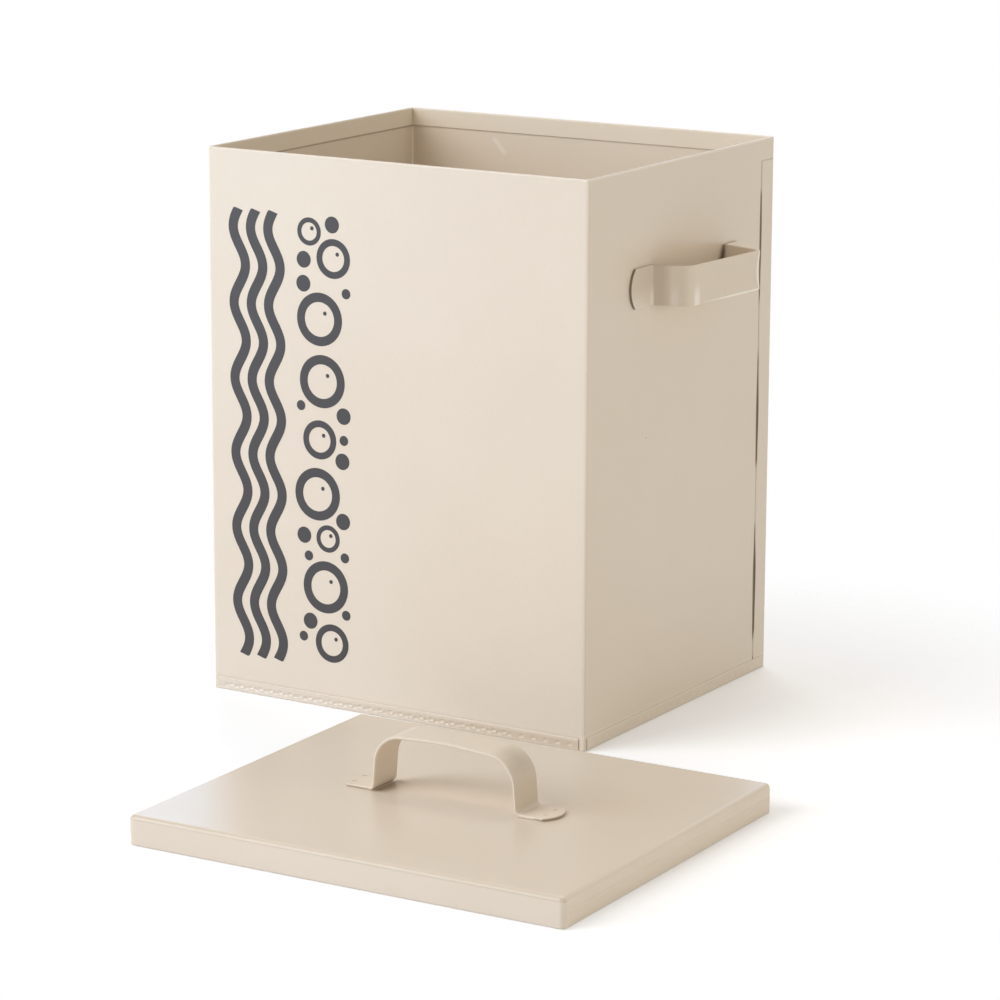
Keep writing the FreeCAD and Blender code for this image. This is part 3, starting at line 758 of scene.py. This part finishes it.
# colour of painted shade on the lid's front edge and on the seam's edge and bites, and of the seam strip's
# darker half
DARK_BEIGE = colour(196, 176, 150)
EDGE_LINE = (lid_top - 1 * MM, 0.6 * MM, 0.4 * MM)
EDGE_STRENGTH = 0.5
LID_DARKER_TONE = colour(200, 186, 168)
LID_DARKER_STRENGTH = 0.3
LID_DARKER_FADE = (-40 * MM, 90 * MM)  # along the lid, from the handle's middle
LID_DARKER_SLANT = 0.35               # how much further along the darker tone starts for each step back


def lid_marks(tree, place):
    """Marks of the darker tone on the lid's top, of the painted shade on its front edge and of the painted
    shadow in the corner by the leg.
    """
    at, faces = coordinates(tree, place), facing(tree)
    along = maths(tree, "SUBTRACT", at["X"], bow_foot.x)
    back = maths(tree, "SUBTRACT", at["Y"], bow_foot.y)
    slanted = maths(tree, "SUBTRACT", along, maths(tree, "MULTIPLY", back, LID_DARKER_SLANT))
    layer = all_of(tree, spread(tree, slanted, *LID_DARKER_FADE, smooth=True),
                  maths(tree, "GREATER_THAN", faces["Z"], 0.9))
    edge = all_of(tree, band(tree, at["Z"], *EDGE_LINE), spread(tree, faces["Y"], -0.4, -0.1, 1, 0))
    beside_leg = all_of(tree, above(tree, along, LEFT_LEG - 0.5 * MM), band(tree, at["Y"], *LEG_LINE),
                        above(tree, at["Z"], lid_top - 0.1 * MM))
    dust_and_shade = all_of(tree, beside_leg, spread(tree, along, LEFT_LEG, LEFT_LEG + SOFT_SHADOW_REACH, 1, 0, smooth=True))
    dark_shadow = all_of(tree, beside_leg, spread(tree, along, LEFT_LEG, LEFT_LEG + DARK_SHADOW_REACH, 1, 0, smooth=True))
    # darker tone on the top, painted shade on the front edge, painted shadow by the left leg
    return [(layer, LID_DARKER_STRENGTH, LID_DARKER_TONE), (edge, EDGE_STRENGTH, DARK_BEIGE),
            (dust_and_shade, SOFT_SHADOW_STRENGTH, OLIVE_SHADE), (dark_shadow, DARK_SHADOW_STRENGTH, DIRT_AND_SHADE)]


finish, tree, place, tone = enamel("lid_shell_enamel")
coat("lid_shell", finish, tone, lid_marks(tree, place))

# %% [markdown]
# ## Wear on the bottom
#
# The bottom's turned edge shows as a narrow strip at the foot of the walls, with the bites of the
# tool that closed the seam. On the front, painted shade darkens its upper edge and its bites, which
# face up into the light. Along the strip the tone changes: the right half is painted darker, and the
# left half paler.

# %% Paint the bottom
SEAM_EDGE = plate_high.z - 0.9 * MM             # the strip's upper edge lies above this
BITE_LINE = (plate_high.z / 2, 1.2 * MM, 0.6 * MM)
SEAM_CHANGE = (-70 * MM, 50 * MM)   # in X, from where the strip is paler to where it is darker
STRIP_STRENGTH = 0.2
BITE_STRENGTH = 0.5
SEAM_EDGE_STRENGTH = 0.6
PALER_LEFT_STRENGTH = 0.28


def seam_marks(tree, place):
    """Marks on the front of the bottom's turned edge: painted shade on its upper edge and bites, a darker
    right half and a paler left half.
    """
    at = coordinates(tree, place)
    front = below(tree, at["Y"], plate_low.y + 2 * MM)
    right_half = spread(tree, at["X"], *SEAM_CHANGE, smooth=True)
    left_half = maths(tree, "SUBTRACT", 1, right_half)
    strip = all_of(tree, front, right_half)
    bites = all_of(tree, front, band(tree, at["Z"], *BITE_LINE))
    edge = all_of(tree, front, above(tree, at["Z"], SEAM_EDGE, softness=0.3 * MM))
    paler_left = all_of(tree, front, left_half, below(tree, at["Z"], SEAM_EDGE, softness=0.5 * MM))
    # darker right half, painted shade on the edge and bites, paler left half
    return [(strip, STRIP_STRENGTH, DARK_BEIGE), (bites, BITE_STRENGTH, DARK_BEIGE),
            (edge, SEAM_EDGE_STRENGTH, DARK_BEIGE), (paler_left, PALER_LEFT_STRENGTH, PALE_WEAR_AND_HIGHLIGHT)]


finish, tree, place, tone = enamel("bottom_plate_enamel")
coat("bottom_plate", finish, tone, seam_marks(tree, place))

# %% [markdown]
# ## The print on the front
#
# Two upright columns of dark ink stand at the left edge of the front wall: three waves for the
# wash, and beside them a rising stream of soap bubbles. Screen ink is a film of a few hundredths of a
# millimetre. Modelled as real, thin, closed shapes it keeps its crisp outline at any distance,
# where a painted mask would go soft, and it catches the light a little differently from the enamel.
#
# A wave is a strip of quads whose points are pushed sideways by a sine, square to its own line so
# that the stroke keeps its width. A bubble starts as a flat disc, and an inset leaves its ring.
# All the flat shapes then get their thickness from one extrude. They are drawn lying on the XY
# plane, which is easiest, and then all are stood up against the wall together.

# %% Measures of the print
PRINT_LEFT = 11.0 * MM              # from the box's left edge
PRINT_FOOT = 17.0 * MM
PRINT_HEIGHT = 198.0 * MM
COLUMN_WIDTH = 29.0 * MM
COLUMN_GAP = 4.5 * MM
STROKE = 4.8 * MM
INK_THICKNESS = 0.05 * MM
INK_SINK = 0.02 * MM                # how deep it sits in the wall, so no gap shows
print("the print is", round((2 * COLUMN_WIDTH + COLUMN_GAP) / MM, 1), "mm wide")

# %% Draw a wave
WAVE_COUNT = 3
WAVE_SWING = 3.1 * MM
WAVE_LENGTH = 33.0 * MM
WAVE_STEPS = 144


def draw_wave(shape, middle):
    """A flat upright stroke that swings about a line."""
    strip = bmesh.ops.create_grid(shape, x_segments=1, y_segments=WAVE_STEPS, size=0.5)["verts"]
    pitch = 2 * math.pi / WAVE_LENGTH
    for point in strip:
        side, height = point.co.x * 2, (point.co.y + 0.5) * PRINT_HEIGHT
        slope = WAVE_SWING * pitch * math.cos(pitch * height)
        stretch = STROKE / 2 / math.hypot(1, slope)
        point.co.x = middle + WAVE_SWING * math.sin(pitch * height) + side * stretch
        point.co.y = min(max(height - side * slope * stretch, 0), PRINT_HEIGHT)


print("a wave swings", WAVE_SWING / MM, "mm to each side")

# %% Draw the bubbles
BUBBLE_SIZES = [(11.5 * MM, 4), (8.5 * MM, 6), (6.0 * MM, 8), (3.6 * MM, 16), (2.2 * MM, 22)]
BUBBLE_SPACE = 1.6 * MM
BUBBLE_TRIES = 400
BUBBLE_SEED = 12
SMALLEST_RING = 5.0 * MM            # radius below which a bubble is a plain disc
RING_SHARE = 0.35                   # the ring's width, as a share of its radius, up to a full stroke
GLINT_RADIUS = 0.9 * MM
GLINT_OFFSET = Vector((0.24, 0.24))  # towards the upper right, as a share of the ring's radius
RING_SEGMENTS = 64
DISC_SEGMENTS = 24
GLINT_SEGMENTS = 20


def scatter_bubbles(left):
    """Places bubbles in a column, the big ones first, none nearer to another than the space."""
    draw = random.Random(BUBBLE_SEED)
    placed = []
    for radius, count in BUBBLE_SIZES:
        for attempt in range(BUBBLE_TRIES):
            if count == 0:
                break
            spot = Vector((draw.uniform(left + radius, left + COLUMN_WIDTH - radius),
                           draw.uniform(radius, PRINT_HEIGHT - radius)))
            if all((spot - other).length > radius + size + BUBBLE_SPACE for other, size in placed):
                placed.append((spot, radius))
                count -= 1
    return placed


def draw_disc(shape, spot, radius, segments):
    """A flat round face at a spot. Returns the face."""
    corners = bmesh.ops.create_circle(shape, cap_ends=True, radius=radius, segments=segments)["verts"]
    bmesh.ops.translate(shape, verts=corners, vec=(*spot, 0))
    return corners[0].link_faces[0]


def draw_bubble(shape, spot, radius):
    """A flat ring with a glint in it, or a flat disc where it is small."""
    if radius < SMALLEST_RING:
        draw_disc(shape, spot, radius, DISC_SEGMENTS)
        return
    face = draw_disc(shape, spot, radius, RING_SEGMENTS)
    bmesh.ops.inset_individual(shape, faces=[face], thickness=min(STROKE, radius * RING_SHARE))
    bmesh.ops.delete(shape, geom=[face], context="FACES")
    draw_disc(shape, spot + radius * GLINT_OFFSET, GLINT_RADIUS, GLINT_SEGMENTS)


print("bubbles come in", len(BUBBLE_SIZES), "sizes")

# %% Print both columns
print_mesh = bpy.data.meshes.new("front_print")
shape = bmesh.new()
room = COLUMN_WIDTH - STROKE - 2 * WAVE_SWING
for number in range(WAVE_COUNT):
    draw_wave(shape, STROKE / 2 + WAVE_SWING + room * number / (WAVE_COUNT - 1))
bubbles = scatter_bubbles(COLUMN_WIDTH + COLUMN_GAP)
for spot, radius in bubbles:
    draw_bubble(shape, spot, radius)
layer = bmesh.ops.extrude_face_region(shape, geom=shape.faces[:])["geom"]
bmesh.ops.translate(shape, verts=[part for part in layer if isinstance(part, bmesh.types.BMVert)],
                    vec=(0, 0, INK_THICKNESS + INK_SINK))
bmesh.ops.recalc_face_normals(shape, faces=shape.faces)
against_wall = Matrix.Translation((body_low.x + PRINT_LEFT, body_low.y + INK_SINK, PRINT_FOOT))
bmesh.ops.transform(shape, verts=shape.verts, matrix=against_wall @ turned("X", 90))
shape.to_mesh(print_mesh)
shape.free()
front_print = bpy.data.objects.new("front_print", print_mesh)
bpy.context.scene.collection.objects.link(front_print)
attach(front_print, "root")
print("front_print has", WAVE_COUNT, "waves,", len(bubbles), "bubbles and", len(print_mesh.polygons), "faces")

# %% [markdown]
# The ink is a warm, very dark grey rather than black. It dries a touch less glossy than the enamel,
# and its pigment lies slightly unevenly, so both its tone and its gloss drift a little.

# %% Ink
INK = colour(56, 51, 50)
INK_DRIFT_SIZE = 9 * MM
INK_DRIFT_DEPTH = 0.07              # how much lighter or darker its tone gets
INK_GLOSS_SIZE = 5 * MM
INK_ROUGHNESS = (0.38, 0.48)        # from the glossiest spots to the dullest
INK_GRAIN_SIZE = 0.7 * MM
INK_GRAIN_HEIGHT = 0.004 * MM

finish, tree, shader, place = new_finish("screen_ink")
uneven = drift(tree, place, INK_DRIFT_SIZE, 4, 1 - INK_DRIFT_DEPTH, 1 + INK_DRIFT_DEPTH, roughness=0.6)
tree.links.new(scaled(tree, INK[:3], uneven), shader.inputs["Base Color"])
tree.links.new(drift(tree, place, INK_GLOSS_SIZE, 3, *INK_ROUGHNESS), shader.inputs["Roughness"])
tree.links.new(ripple(tree, place, INK_GRAIN_SIZE, 1, INK_GRAIN_HEIGHT), shader.inputs["Normal"])
front_print.data.materials.append(finish)
print("ink is", finish.name)
